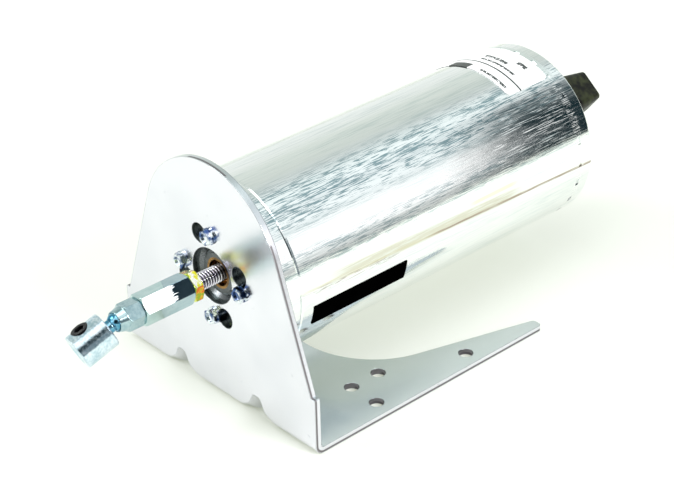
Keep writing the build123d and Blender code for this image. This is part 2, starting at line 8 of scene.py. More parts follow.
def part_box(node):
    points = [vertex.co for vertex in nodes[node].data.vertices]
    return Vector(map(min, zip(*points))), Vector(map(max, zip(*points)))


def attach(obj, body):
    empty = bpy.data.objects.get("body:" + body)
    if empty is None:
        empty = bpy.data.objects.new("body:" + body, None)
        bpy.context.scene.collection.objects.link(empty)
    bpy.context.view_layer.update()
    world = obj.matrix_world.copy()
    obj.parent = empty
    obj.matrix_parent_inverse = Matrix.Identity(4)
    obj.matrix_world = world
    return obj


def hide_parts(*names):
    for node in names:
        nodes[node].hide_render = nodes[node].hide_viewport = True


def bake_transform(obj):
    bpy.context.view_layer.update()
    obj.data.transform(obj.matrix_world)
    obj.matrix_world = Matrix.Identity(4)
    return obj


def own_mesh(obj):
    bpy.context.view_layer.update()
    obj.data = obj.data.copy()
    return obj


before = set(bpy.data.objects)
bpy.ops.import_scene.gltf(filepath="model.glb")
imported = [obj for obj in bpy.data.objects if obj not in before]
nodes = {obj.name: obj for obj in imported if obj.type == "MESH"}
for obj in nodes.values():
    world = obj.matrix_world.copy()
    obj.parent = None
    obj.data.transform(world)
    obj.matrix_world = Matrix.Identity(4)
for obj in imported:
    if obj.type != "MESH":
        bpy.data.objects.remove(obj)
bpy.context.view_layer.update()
scene = bpy.context.scene

# Camera: a long lens ahead of the actuator, to its right and above it.
# Its place and turn were fitted to the bracket, the cylinder and the shaft in the photograph.
camera_place = (0.57156, -0.50687, 0.50081)
camera_azimuth = 48.35
camera_elevation = 30.87
camera_roll = -1.42
camera = bpy.data.objects.new("camera", bpy.data.cameras.new("camera"))
camera.data.sensor_width = 36.0
camera.data.lens = 106.64
camera.data.clip_start = 0.05
camera_turn = Euler((math.radians(90 - camera_elevation), 0, math.radians(camera_azimuth)))
camera.matrix_world = (
    Matrix.Translation(camera_place)
    @ camera_turn.to_matrix().to_4x4()
    @ Matrix.Rotation(math.radians(camera_roll), 4, "Z")
)
scene.collection.objects.link(camera)
scene.camera = camera
scene.view_settings.view_transform = "Standard"


# Studio: a white table under a light tent. The tent is bright at the right and over the front,
# dimmer and greenish overhead, dim low at the front right, and dark where it opens behind the
# cylinder and round the lens. Seen past the actuator it looks plain white.
def shader_node(tree, kind, inputs=None, **settings):
    """Adds a shader node; an input given a socket is linked, and any other value is set on it."""
    node = tree.nodes.new("ShaderNode" + kind)
    for name, value in settings.items():
        setattr(node, name, value)
    for name, value in (inputs or {}).items():
        if isinstance(value, bpy.types.NodeSocket):
            tree.links.new(value, node.inputs[name])
        else:
            node.inputs[name].default_value = value
    return node


def maths(tree, operation, *values):
    """Adds a Math node and returns its value."""
    return shader_node(tree, "Math", dict(enumerate(values)), operation=operation).outputs[0]


def product(tree, *values):
    """Multiplies masks together."""
    result = values[0]
    for value in values[1:]:
        result = maths(tree, "MULTIPLY", result, value)
    return result


def colour_ramp(tree, value, *stops):
    """Adds a colour ramp with (position, colour) stops and returns its colour."""
    ramp = shader_node(tree, "ValToRGB", {"Fac": value})
    elements = ramp.color_ramp.elements
    while len(elements) < len(stops):
        elements.new(0.5)
    for element, (position, colour) in zip(elements, stops):
        element.position = position
        element.color = (*colour, 1.0)
    return ramp.outputs["Color"]


def mix_colour(tree, factor, first, second):
    """Mixes two colours and returns the result."""
    first, second = ((*c, 1.0) if isinstance(c, tuple) else c for c in (first, second))
    return shader_node(tree, "Mix", {0: factor, 6: first, 7: second}, data_type="RGBA").outputs[2]


def fade(tree, value, start, end, low=0.0, high=1.0):
    """Returns a value that runs smoothly from low to high as the given one goes from start to end."""
    inputs = {"Value": value, "From Min": start, "From Max": end, "To Min": low, "To Max": high}
    return shader_node(tree, "MapRange", inputs, interpolation_type="SMOOTHSTEP").outputs["Result"]


def between(tree, value, start, full, last, end):
    """A mask that rises from start to full, holds to last and is gone at end."""
    return product(tree, fade(tree, value, start, full), fade(tree, value, end, last))


def along(tree, direction, towards):
    """Returns how far a direction agrees with a fixed one, from -1 to 1."""
    inputs = {0: direction, 1: towards}
    return shader_node(tree, "VectorMath", inputs, operation="DOT_PRODUCT").outputs["Value"]


tent_world = bpy.data.worlds.new("light_tent")
tent_world.use_nodes = True
scene.world = tent_world
tent = tent_world.node_tree
tent.nodes.clear()
sky_direction = shader_node(tent, "TexCoord").outputs["Generated"]
sky = shader_node(tent, "SeparateXYZ", {"Vector": sky_direction}).outputs
around = maths(tent, "ARCTAN2", sky["Z"], sky["X"])
tent_turn = maths(tent, "MULTIPLY_ADD", around, 0.5 / math.pi, 0.5)
tent_light = colour_ramp(
    tent,
    tent_turn,
    (0.250, (0.95, 0.98, 0.95)),
    (0.483, (0.42, 0.43, 0.42)),
    (0.508, (0.62, 0.64, 0.63)),
    (0.525, (0.80, 0.83, 0.82)),
    (0.536, (1.20, 1.20, 1.20)),
    (0.608, (1.20, 1.21, 1.21)),
    (0.625, (0.86, 0.93, 0.94)),
    (0.642, (1.00, 1.06, 1.07)),
    (0.675, (0.98, 1.05, 1.06)),
    (0.689, (0.80, 0.88, 0.90)),
    (0.703, (1.00, 1.07, 1.08)),
    (0.736, (1.00, 1.08, 1.08)),
    (0.758, (0.86, 0.95, 0.95)),
    (0.792, (0.66, 0.72, 0.71)),
    (0.825, (0.64, 0.70, 0.66)),
    (0.892, (0.74, 0.80, 0.75)),
    (0.944, (0.87, 0.91, 0.88)),
    (1.000, (0.94, 0.98, 0.95)),
)
over_front = product(
    tent, fade(tent, sky["Y"], 0.05, -0.10), between(tent, tent_turn, 0.63, 0.65, 0.755, 0.775)
)
low_front = product(
    tent, fade(tent, sky["Y"], 0.30, 0.05), between(tent, tent_turn, 0.485, 0.495, 0.603, 0.615)
)
rear_shares = (
    (0.478, 0.0),
    (0.488, 0.85),
    (0.500, 1.0),
    (0.625, 1.0),
    (0.645, 0.85),
    (0.692, 0.75),
    (0.708, 0.40),
    (0.740, 0.0),
)
rear_sides = colour_ramp(tent, tent_turn, *((turn, (share,) * 3) for turn, share in rear_shares))
rear_opening = product(tent, fade(tent, sky["Y"], 0.626, 0.658), rear_sides)
lens_opening = fade(tent, along(tent, sky_direction, (0.64, -0.57, 0.51)), 0.885, 0.955)
for part_of_tent, light in (
    (over_front, (1.6, 1.6, 1.6)),
    (low_front, (0.30, 0.34, 0.36)),
    (maths(tent, "MAXIMUM", rear_opening, lens_opening), (0.012, 0.028, 0.034)),
):
    tent_light = mix_colour(tent, part_of_tent, tent_light, light)
tent_wall = shader_node(tent, "Background", {"Color": tent_light})
tent_seen = shader_node(tent, "Background", {"Color": (1, 1, 1, 1)})
seen = shader_node(tent, "LightPath").outputs["Is Camera Ray"]
tent_mix = shader_node(tent, "MixShader", {0: seen, 1: tent_wall.outputs[0], 2: tent_seen.outputs[0]})
shader_node(tent, "OutputWorld", {"Surface": tent_mix.outputs[0]})


def new_material(name, **values):
    """A material with a Principled shader; its plain values are set on the shader's own sockets."""
    material = bpy.data.materials.new(name)
    material.use_nodes = True
    shader = material.node_tree.nodes["Principled BSDF"]
    for socket, value in values.items():
        shader.inputs[socket.replace("_", " ")].default_value = value
    return material, material.node_tree, shader.inputs


def new_mesh_object(name, vertices, faces, smooth=True):
    """A mesh object from points and faces, in metres in the row's frame."""
    mesh = bpy.data.meshes.new(name)
    mesh.from_pydata(vertices, [], faces)
    shaped = bmesh.new()
    shaped.from_mesh(mesh)
    bmesh.ops.recalc_face_normals(shaped, faces=shaped.faces)
    shaped.to_mesh(mesh)
    shaped.free()
    mesh.polygons.foreach_set("use_smooth", [smooth] * len(mesh.polygons))
    mesh.update()
    piece = bpy.data.objects.new(name, mesh)
    scene.collection.objects.link(piece)
    return piece


table_reach = 3.0
table_corners = [(x * table_reach, y * table_reach, 0) for x, y in ((-1, -1), (1, -1), (1, 1), (-1, 1))]
table = new_mesh_object("table_top", table_corners, [(0, 1, 2, 3)], smooth=False)
table_white = new_material(
    "table_white",
    Roughness=0.9,
    Base_Color=(0.62, 0.62, 0.62, 1),
    Emission_Color=(0.90, 1.0, 0.66, 1),
    Emission_Strength=0.22,
)[0]
table.data.materials.append(table_white)

lamp_aim = Vector((0, 0, 0.05))
for name, place, size, power in (
    ("key_light", (-0.75, -1.05, 1.25), 0.7, 12.0),
    ("side_light", (1.35, 0.15, 0.9), 0.6, 16.0),
    ("top_light", (0.1, 0.1, 1.7), 1.2, 6.0),
):
    lamp = bpy.data.objects.new(name, bpy.data.lights.new(name, "AREA"))
    lamp.data.shape = "DISK"
    lamp.data.size = size
    lamp.data.energy = power
    lamp.location = place
    lamp.rotation_euler = (lamp_aim - Vector(place)).to_track_quat("-Z", "Y").to_euler()
    scene.collection.objects.link(lamp)


# Mounting bracket: one steel sheet, blanked, folded and zinc plated with a blue-white passivation.
# The coat is a little cloudy and finely flecked. The blanked edges show a bright sheared band on
# the inner side and a dark torn band on the outer side. The hole walls, the edges and the upward faces
# are painted darker as shade.
def new_group(name, inputs, outputs):
    """A shader node group with (name, kind, default) inputs and (name, kind) outputs."""
    group = bpy.data.node_groups.new(name, "ShaderNodeTree")
    for label, kind, default in inputs:
        socket = group.interface.new_socket(label, in_out="INPUT", socket_type="NodeSocket" + kind)
        socket.default_value = default
    for label, kind in outputs:
        group.interface.new_socket(label, in_out="OUTPUT", socket_type="NodeSocket" + kind)
    return group, group.nodes.new("NodeGroupInput").outputs, group.nodes.new("NodeGroupOutput").inputs


def place_group(tree, group, **values):
    """Places a node group in a material with its own values and returns its outputs."""
    node = tree.nodes.new("ShaderNodeGroup")
    node.node_tree = group
    for name, value in values.items():
        node.inputs[name].default_value = value
    return node.outputs


def length(tree, **sides):
    """Returns the length of the line whose X, Y and Z are given."""
    line = shader_node(tree, "CombineXYZ", sides).outputs[0]
    return shader_node(tree, "VectorMath", {0: line}, operation="LENGTH").outputs["Value"]


def gap(tree, value, centre):
    """Returns how far a value is from a centre, on either side."""
    return maths(tree, "ABSOLUTE", maths(tree, "SUBTRACT", value, centre))


def facing(tree, towards):
    """Returns how squarely the surface faces a direction, from -1 to 1."""
    return along(tree, shader_node(tree, "NewGeometry").outputs["True Normal"], towards)


def raise_surface(tree, height, distance, under=None):
    """Adds a Bump node on top of another normal and returns its normal."""
    inputs = {"Height": height, "Distance": distance}
    if under:
        inputs["Normal"] = under
    return shader_node(tree, "Bump", inputs).outputs["Normal"]


def overlay(tree, shader, colour, *masks):
    """Lays a colour over what already feeds the shader's Base Color, by the masks' product."""
    under = shader["Base Color"].links[0].from_socket
    tree.links.new(mix_colour(tree, product(tree, *masks), under, colour), shader["Base Color"])


def finish_node(node, material):
    """Gives a CAD piece its finished material."""
    nodes[node].data.materials.clear()
    nodes[node].data.materials.append(material)


axis_height = 0.0605
spot_group, _, result = new_group(
    "spot_on_part", [], [(label, "Float") for label in ("X", "Y", "Z", "Reach", "Turn")]
)
spot = shader_node(spot_group, "TexCoord").outputs["Object"]
spot = shader_node(spot_group, "SeparateXYZ", {"Vector": spot}).outputs
above_axis = maths(spot_group, "SUBTRACT", spot["Z"], axis_height)
around_axis = maths(spot_group, "ARCTAN2", above_axis, spot["X"])
for label in ("X", "Y", "Z"):
    spot_group.links.new(spot[label], result[label])
spot_group.links.new(length(spot_group, X=spot["X"], Z=above_axis), result["Reach"])
spot_group.links.new(maths(spot_group, "MULTIPLY", around_axis, 180 / math.pi), result["Turn"])

fleck_group, given, result = new_group(
    "zinc_fleck",
    [("Size", "Float", 1200.0), ("Cloud", "Float", 60.0)],
    [("Fleck", "Float"), ("Cloud", "Float"), ("Pits", "Float")],
)
spot = shader_node(fleck_group, "TexCoord").outputs["Object"]
fine = shader_node(fleck_group, "TexNoise", {"Vector": spot, "Scale": given["Size"], "Detail": 3.0})
wide = shader_node(fleck_group, "TexNoise", {"Vector": spot, "Scale": given["Cloud"], "Detail": 4.0})
pits = shader_node(fleck_group, "TexNoise", {"Vector": spot, "Scale": 330.0, "Detail": 1.0})
fleck_group.links.new(fine.outputs["Fac"], result["Fleck"])
fleck_group.links.new(wide.outputs["Fac"], result["Cloud"])
fleck_group.links.new(fade(fleck_group, pits.outputs["Fac"], 0.75, 0.79), result["Pits"])

# Edge mask and rounded normal from the Bevel node. Materials paint their edges with the mask: dark
# tones are painted shade, bright tones are wear and painted highlight.
edge_mask_group, given, result = new_group(
    "edge_mask", [("Width", "Float", 0.0005)], [("Rub", "Float"), ("Rounded", "Vector")]
)
rounded = shader_node(edge_mask_group, "Bevel", {"Radius": given["Width"]}, samples=4).outputs[0]
flat = shader_node(edge_mask_group, "NewGeometry").outputs["Normal"]
edge_mask_group.links.new(fade(edge_mask_group, along(edge_mask_group, rounded, flat), 0.995, 0.90), result["Rub"])
edge_mask_group.links.new(rounded, result["Rounded"])

sheet = 0.003
outer_bend = 0.0045
gusset_x, gusset_half_width = 0.0254, 0.013
torn_band = (0.0001, 0.0004, 0.0011, 0.0015)
foot_holes = ((0.0556, -0.02735), (0.0556, 0.02735), (0.03975, -0.02735), (0.03975, -0.01145))
hole_radius = 0.00338
plate_hole_reach = 0.029
bracket_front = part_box("mounting_bracket")[0].y

bracket_zinc, tree, zinc = new_material("bracket_zinc", Metallic=1.0)
at = place_group(tree, spot_group)
zinc_spots = place_group(tree, fleck_group, Size=1500.0, Cloud=38.0)
zinc_edge = place_group(tree, edge_mask_group, Width=0.0005)

behind_bend = maths(tree, "SUBTRACT", bracket_front + outer_bend, at["Y"])
below_bend = maths(tree, "SUBTRACT", outer_bend, at["Z"])
bend_reach = length(
    tree,
    Y=maths(tree, "MAXIMUM", behind_bend, 0.0),
    Z=maths(tree, "MAXIMUM", below_bend, 0.0),
)
depth = maths(tree, "SUBTRACT", outer_bend, bend_reach)
across = maths(tree, "ABSOLUTE", at["X"])
off_gusset = fade(tree, gap(tree, across, gusset_x), gusset_half_width, gusset_half_width + 0.0005)
torn = product(tree, between(tree, depth, *torn_band), off_gusset)

hole_reaches = [
    length(tree, X=maths(tree, "SUBTRACT", across, x), Y=maths(tree, "SUBTRACT", at["Y"], y))
    for x, y in foot_holes
]
in_hole = hole_reaches[0]
for hole_reach in hole_reaches[1:]:
    in_hole = maths(tree, "MINIMUM", in_hole, hole_reach)
foot_hole_shade = product(
    tree,
    fade(tree, in_hole, hole_radius + 0.00012, hole_radius + 0.00004),
    fade(tree, depth, sheet - 0.0001, sheet - 0.0003),
)
sideways = fade(tree, maths(tree, "ABSOLUTE", facing(tree, (0, 1, 0))), 0.6, 0.4)
near_axis = fade(tree, at["Reach"], plate_hole_reach + 0.0003, plate_hole_reach)
upward_shade = fade(tree, facing(tree, (0, 0, 1)), 0.4, 0.9)

zinc_tone = colour_ramp(
    tree, zinc_spots["Cloud"], (0.36, (0.78, 0.785, 0.84)), (0.64, (0.825, 0.825, 0.88))
)
tree.links.new(zinc_tone, zinc["Base Color"])
overlay(tree, zinc, (0.62, 0.67, 0.73), fade(tree, zinc_spots["Fleck"], 0.58, 0.72), 0.25)
overlay(tree, zinc, (0.30, 0.34, 0.37), zinc_spots["Pits"], 0.4)
# Painted shade: the upward faces are darkened.
overlay(tree, zinc, (0.59, 0.645, 0.655), upward_shade, 0.8)
overlay(tree, zinc, (0.16, 0.145, 0.15), torn, 0.9)
# Painted shade: the walls of the foot's holes and of the plate's centre hole are darkened.
overlay(tree, zinc, (0.13, 0.12, 0.14), foot_hole_shade, 0.9)
overlay(tree, zinc, (0.16, 0.20, 0.19), sideways, near_axis, 0.85)
# Painted shade: the edges are darkened.
overlay(tree, zinc, (0.34, 0.37, 0.39), zinc_edge["Rub"], 0.75)
cloud_rough = fade(tree, zinc_spots["Cloud"], 0.35, 0.65, 0.26, 0.20)
tree.links.new(maths(tree, "MULTIPLY_ADD", torn, 0.3, cloud_rough), zinc["Roughness"])
tree.links.new(raise_surface(tree, zinc_spots["Fleck"], 0.000008, zinc_edge["Rounded"]), zinc["Normal"])
finish_node("mounting_bracket", bracket_zinc)


# Cylinder shell: a can drawn from bright tin-coated steel. Drawing left fine streaks and waves
# along it, and scrapes follow a line low on its side. Dark teal dashes in two bands round it and
# brownish lines along that line are painted reflection. Its front wall is dull and painted dark as
# shade, and its rear is scratched up to the scuffed ring of stakes, whose top is tinted like the
# reflection round it.
def band(tree, value, centre, half_width, soft):
    """A mask that is 1 within half_width of centre and fades out over the soft width."""
    return fade(tree, gap(tree, value, centre), half_width + soft, half_width)


grain_group, given, result = new_group(
    "drawn_grain",
    [("Stretch", "Vector", (900.0, 20.0, 900.0)), ("Detail", "Float", 4.0)],
    [("Grain", "Float")],
)
spot = shader_node(grain_group, "TexCoord").outputs["Object"]
drawn = shader_node(grain_group, "VectorMath", {0: spot, 1: given["Stretch"]}, operation="MULTIPLY")
streak_inputs = {"Vector": drawn.outputs[0], "Scale": 1.0, "Detail": given["Detail"], "Roughness": 0.6}
streaks = shader_node(grain_group, "TexNoise", streak_inputs)
grain_group.links.new(streaks.outputs["Fac"], result["Grain"])


def drawn_grain(tree, across, lengthways, detail):
    """Returns the grain that drawing leaves, at so many lines a metre across and along the part."""
    stretch = (across, lengthways, across)
    return place_group(tree, grain_group, Stretch=stretch, Detail=detail)["Grain"]


can_front, can_rear = (corner.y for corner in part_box("cylinder_shell"))
wall_front, wall_rear = can_front + 0.0022, can_front + 0.0026
stake_ring = can_rear - 0.0083
line_start, line_turn, line_slope = -0.03935, 4.2, -38.0

can_tin, tree, tin = new_material("can_tin", Metallic=1.0)
at = place_group(tree, spot_group)
streak = drawn_grain(tree, 1500.0, 60.0, 4.0)
dash = drawn_grain(tree, 2600.0, 130.0, 5.0)
patch = drawn_grain(tree, 320.0, 45.0, 2.0)
wave = drawn_grain(tree, 160.0, 12.0, 2.0)
scratch = drawn_grain(tree, 2400.0, 70.0, 3.0)
tin_tone = colour_ramp(
    tree,
    maths(tree, "MULTIPLY_ADD", streak, 0.6, maths(tree, "MULTIPLY", wave, 0.4)),
    (0.34, (0.74, 0.80, 0.80)),
    (0.50, (0.91, 0.935, 0.93)),
    (0.66, (0.96, 0.97, 0.965)),
)
tree.links.new(tin_tone, tin["Base Color"])

# Painted reflection: dark teal dashes in two bands round the can.
upper_reflection_band = between(tree, at["Turn"], 36.0, 47.0, 62.0, 76.0)
lower_reflection_band = between(tree, at["Turn"], 13.0, 18.0, 25.0, 32.0)
reflection_bands = maths(tree, "MAXIMUM", upper_reflection_band, maths(tree, "MULTIPLY", lower_reflection_band, 0.7))
patchy_dash = maths(tree, "MULTIPLY_ADD", maths(tree, "SUBTRACT", patch, 0.5), 0.35, dash)
overlay(tree, tin, (0.17, 0.28, 0.31), fade(tree, patchy_dash, 0.51, 0.43), reflection_bands, 0.88)

past_start = maths(tree, "SUBTRACT", at["Y"], line_start)
off_line = maths(
    tree, "SUBTRACT", at["Turn"], maths(tree, "MULTIPLY_ADD", past_start, line_slope, line_turn)
)
broken = fade(tree, streak, 0.36, 0.54, 0.40, 1.0)
# Painted reflection: three brownish lines along a sloping line low on the side.
for colour, (centre, half_width, soft), lengthways, share in (
    ((0.62, 0.60, 0.48), (1.6, 2.4, 2.2), band(tree, at["Y"], 0.018, 0.045, 0.02), 0.85),
    ((0.64, 0.60, 0.42), (-0.4, 0.5, 0.7), fade(tree, at["Y"], -0.060, -0.050), 0.6),
    ((0.38, 0.31, 0.25), (-0.6, 0.45, 0.5), fade(tree, at["Y"], 0.010, 0.030), 1.0),
):
    reflection_line = band(tree, off_line, centre, half_width, soft)
    overlay(tree, tin, colour, reflection_line, lengthways, broken, share)
scrapes = product(
    tree,
    band(tree, off_line, -2.4, 1.2, 1.0),
    band(tree, at["Y"], -0.028, 0.020, 0.012),
    fade(tree, dash, 0.49, 0.44),
)
overlay(tree, tin, (0.42, 0.37, 0.33), scrapes, 0.75)
stain = product(tree, band(tree, at["Turn"], 8.5, 0.7, 1.0), band(tree, at["Y"], 0.0586, 0.010, 0.008))
overlay(tree, tin, (0.80, 0.80, 0.55), stain, 0.7)

scuffed = product(
    tree,
    band(tree, at["Y"], stake_ring, 0.0015, 0.0015),
    fade(tree, dash, 0.52, 0.60),
    fade(tree, at["Turn"], 62.0, 52.0),
)
overlay(tree, tin, (0.98, 0.98, 0.97), scuffed, 0.8)
# Painted reflection: the top of the stake ring is tinted grey-green like the reflection round it.
top_stakes = product(
    tree, band(tree, at["Y"], stake_ring, 0.0021, 0.0004), fade(tree, at["Turn"], 56.0, 64.0)
)
overlay(tree, tin, (0.74, 0.80, 0.78), top_stakes, 0.6)
# Painted shade: the front wall, behind the bracket's plate, is darkened.
shaded_front_wall = product(
    tree, fade(tree, at["Y"], wall_rear, wall_front), fade(tree, at["Reach"], 0.0385, 0.0375)
)
overlay(tree, tin, (0.15, 0.16, 0.17), shaded_front_wall)

scratched = product(
    tree,
    fade(tree, scratch, 0.54, 0.62),
    between(tree, at["Y"], 0.030, 0.070, 0.1100, 0.1165),
    between(tree, at["Turn"], 16.0, 22.0, 56.0, 66.0),
)
dull_marks = maths(tree, "MAXIMUM", maths(tree, "MAXIMUM", scuffed, top_stakes), scratched)
tin_rough = maths(tree, "MULTIPLY_ADD", shaded_front_wall, 0.22, fade(tree, streak, 0.35, 0.7, 0.03, 0.10))
tree.links.new(maths(tree, "MULTIPLY_ADD", dull_marks, 0.3, tin_rough), tin["Roughness"])
waves = raise_surface(tree, wave, 0.00010)
tree.links.new(raise_surface(tree, streak, 0.000030, waves), tin["Normal"])
finish_node("cylinder_shell", can_tin)


# Rear cover: a black moulding, held in the can's rear by the rolled and staked rim. It is satin,
# with an olive cast where the light catches it.
def matt_coat(name, tones, size, cloud, bump, **values):
    """A coat that isn't metal: cloudy between two tones, with fine grain raised on it."""
    material, tree, coat = new_material(name, **values)
    spots = place_group(tree, fleck_group, Size=size, Cloud=cloud)
    tree.links.new(colour_ramp(tree, spots["Cloud"], *tones), coat["Base Color"])
    tree.links.new(raise_surface(tree, spots["Fleck"], bump), coat["Normal"])
    return material, tree, coat


moulding_black = matt_coat(
    "moulding_black",
    ((0.42, (0.004, 0.004, 0.003)), (0.66, (0.030, 0.035, 0.015))),
    size=900.0,
    cloud=260.0,
    bump=0.00003,
    Roughness=0.42,
    Specular_IOR_Level=0.2,
)[0]
finish_node("rear_cover", moulding_black)


# Front bushing: turned from oiled sintered bronze, brown at its mouth; its flange is painted dark grey
# as shade.
# A push-on clip of spring steel holds it in the can's front wall.
def plated(
    name,
    dark,
    bright,
    rough,
    stretch=(260.0, 260.0, 260.0),
    bump=0.00001,
    edge_share=0.45,
    edge_tone=(0.97, 0.98, 0.99),
    cloud=190.0,
    spread=0.09,
):
    """A plated metal: between dark and bright by cloud and grain, with edge_tone laid along its edges:
    painted shade where dark, wear and painted highlight where bright.
    """
    material, tree, metal = new_material(name, Metallic=1.0)
    spots = place_group(tree, fleck_group, Size=1600.0, Cloud=cloud)
    grain = place_group(tree, grain_group, Stretch=stretch)["Grain"]
    edge = place_group(tree, edge_mask_group, Width=0.00035)
    tone = maths(tree, "MULTIPLY_ADD", grain, 0.5, maths(tree, "MULTIPLY", spots["Cloud"], 0.5))
    coat = colour_ramp(tree, tone, (0.5 - spread, dark), (0.5 + spread, bright))
    tree.links.new(coat, metal["Base Color"])
    overlay(tree, metal, edge_tone, edge["Rub"], edge_share)
    tree.links.new(fade(tree, grain, 0.3, 0.7, rough * 0.6, rough * 1.4), metal["Roughness"])
    tree.links.new(raise_surface(tree, grain, bump, edge["Rounded"]), metal["Normal"])
    return material, tree, metal


mouth_reach, flange_reach = 0.0069, 0.0074
bushing_bronze, tree, bronze = plated(
    "bushing_bronze", (0.10, 0.055, 0.02), (0.36, 0.20, 0.06), rough=0.32, edge_share=0.1
)
# Painted shade: the flange is darkened like the can's front wall round it.
flange_shade = fade(tree, place_group(tree, spot_group)["Reach"], mouth_reach, flange_reach)
overlay(tree, bronze, (0.12, 0.13, 0.135), flange_shade)
finish_node("front_bushing", bushing_bronze)
spring_steel = plated("spring_steel", (0.30, 0.31, 0.32), (0.50, 0.51, 0.52), rough=0.30)[0]
finish_node("bushing_clip", spring_steel)

# Fixing screws, lock washers and clinch nuts: cold-formed steel, bright zinc with a strong blue cast,
# their edges painted dark as shade.
# The screws go through the keyhole slots into the nuts behind the can's front wall.
screw_zinc = plated(
    "screw_zinc",
    (0.05, 0.10, 0.26),
    (0.86, 0.91, 0.94),
    rough=0.10,
    edge_share=0.65,
    edge_tone=(0.06, 0.11, 0.12),
    bump=0.000008,
    cloud=300.0,
    spread=0.05,
)[0]
for node in ("fixing_screws", "lock_washers", "clinch_nuts"):
    finish_node(node, screw_zinc)

# Piston shaft: a steel rod whose front end has a rolled 5/16 inch thread, 18 turns to the inch.
# The thread is a true helix from the jam nut into the bushing. Its root is painted darker as shade, and
# a band where it enters the bushing is painted dark as the shade of the recess.
shaft_low, shaft_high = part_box("piston_shaft")
shaft_radius = (shaft_high.x - shaft_low.x) / 2
thread_pitch = 0.0254 / 18
thread_depth = 0.00086
thread_front = -0.0815
thread_rear = -0.0500
crest_share, flank_share = 0.15, 0.7
end_chamfer = 0.0008
steps_per_turn = 12
shaft_sides = 48
recess_shade_band = (-0.0674, -0.0662, -0.0610, -0.0550)


def thread_radius(y, angle):
    """The shaft's radius at station y: rounded crests between thread_front and thread_rear."""
    if y < thread_front or y > thread_rear:
        return shaft_radius - (end_chamfer if y in (shaft_low.y, shaft_high.y) else 0)
    from_crest = abs(2 * ((y / thread_pitch + angle / (2 * math.pi)) % 1.0) - 1)
    fall = min(1.0, max(0.0, (from_crest - crest_share) / flank_share))
    run_out = min(1.0, (thread_rear - y) / (2 * thread_pitch))
    return shaft_radius - thread_depth * fall * fall * (3 - 2 * fall) * run_out


def round_axis(y, radius, turn):
    """The point at station y, at a radius from the shaft's axis and a turn round it."""
    return (radius * math.cos(turn), y, axis_height + radius * math.sin(turn))


def ring_faces(rings, sides, closed=False):
    """Faces that join each ring of points to the one before it, closed on itself or at its ends."""
    faces = []
    for ring in range(0 if closed else 1, rings):
        here, back = ring * sides, (ring - 1) % rings * sides
        for side in range(sides):
            beside = (side + 1) % sides
            faces.append((back + side, here + side, here + beside, back + beside))
    if not closed:
        faces.append(tuple(range(sides)))
        faces.append(tuple(range(rings * sides - 1, (rings - 1) * sides - 1, -1)))
    return faces


ring_step = thread_pitch / steps_per_turn
ring_count = int((thread_rear - thread_front) / ring_step)
stations = [shaft_low.y, shaft_low.y + end_chamfer, thread_front - ring_step]
stations += [thread_front + i * ring_step for i in range(ring_count + 1)]
stations += [thread_rear + ring_step, shaft_high.y - end_chamfer, shaft_high.y]
side_turns = [2 * math.pi * side / shaft_sides for side in range(shaft_sides)]
vertices = [round_axis(y, thread_radius(y, turn), turn) for y in stations for turn in side_turns]
threaded_shaft = new_mesh_object("threaded_shaft", vertices, ring_faces(len(stations), shaft_sides))
shaft_zinc, tree, zinc = plated(
    "shaft_zinc", (0.66, 0.62, 0.72), (0.93, 0.92, 0.96), rough=0.16, edge_share=0.0
)
at = place_group(tree, spot_group)
root_shade_start, root_shade_full = (shaft_radius - share * thread_depth for share in (0.35, 0.8))
# Painted shade: the thread's root, and a band where the shaft enters the bushing.
overlay(tree, zinc, (0.14, 0.13, 0.17), fade(tree, at["Reach"], root_shade_start, root_shade_full))
overlay(tree, zinc, (0.10, 0.085, 0.075), between(tree, at["Y"], *recess_shade_band), 0.9)
threaded_shaft.data.materials.append(shaft_zinc)
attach(threaded_shaft, "shaft")
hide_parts("piston_shaft")

# Jam nut: thin steel hexagon with both faces chamfered, locked against the coupling. Its zinc has
# a cloudy yellow-green chromate coat. Three flats are painted as lit and shaded copies of it: lemon
# with a cream highlight on the upper right flat, orange and green shade on the flats beside it. Its
# edges are painted darker as shade.
nut_low, nut_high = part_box("jam_nut")
nut_across_flats = 0.0127
nut_turn = -7.0
nut_face_radius = 0.475 * nut_across_flats
nut_bore = shaft_radius + 0.0002
bore_chamfer = 0.0004
face_chamfer_angle = 30
flat_steps = 12
nut_sides = 6 * flat_steps
vertices, faces = [], []
for side in range(nut_sides):
    from_flat = math.radians((side * 360 / nut_sides + 30) % 60 - 30)
    turn = math.radians(nut_turn) + 2 * math.pi * side / nut_sides
    flat_radius = nut_across_flats / 2 / math.cos(from_flat)
    rise = (flat_radius - nut_face_radius) * math.tan(math.radians(face_chamfer_angle))
    for radius, y in (
        (nut_bore, nut_low.y + bore_chamfer),
        (nut_bore + bore_chamfer, nut_low.y),
        (nut_face_radius, nut_low.y),
        (flat_radius, nut_low.y + rise),
        (flat_radius, nut_high.y - rise),
        (nut_face_radius, nut_high.y),
        (nut_bore + bore_chamfer, nut_high.y),
        (nut_bore, nut_high.y - bore_chamfer),
    ):
        vertices.append(round_axis(y, radius, turn))
nut_rings = len(vertices) // nut_sides
for side in range(nut_sides):
    here, beside = side * nut_rings, (side + 1) % nut_sides * nut_rings
    for ring in range(nut_rings):
        after = (ring + 1) % nut_rings
        faces.append((here + ring, here + after, beside + after, beside + ring))
chamfered_nut = new_mesh_object("chamfered_nut", vertices, faces, smooth=False)
jam_nut_yellow, tree, yellow = new_material("jam_nut_yellow", Metallic=1.0)
nut_spots = place_group(tree, fleck_group, Size=900.0, Cloud=420.0)
nut_edge = place_group(tree, edge_mask_group, Width=0.0004)
chromate = colour_ramp(tree, nut_spots["Cloud"], (0.40, (0.45, 0.55, 0.06)), (0.60, (0.78, 0.84, 0.25)))
tree.links.new(chromate, yellow["Base Color"])
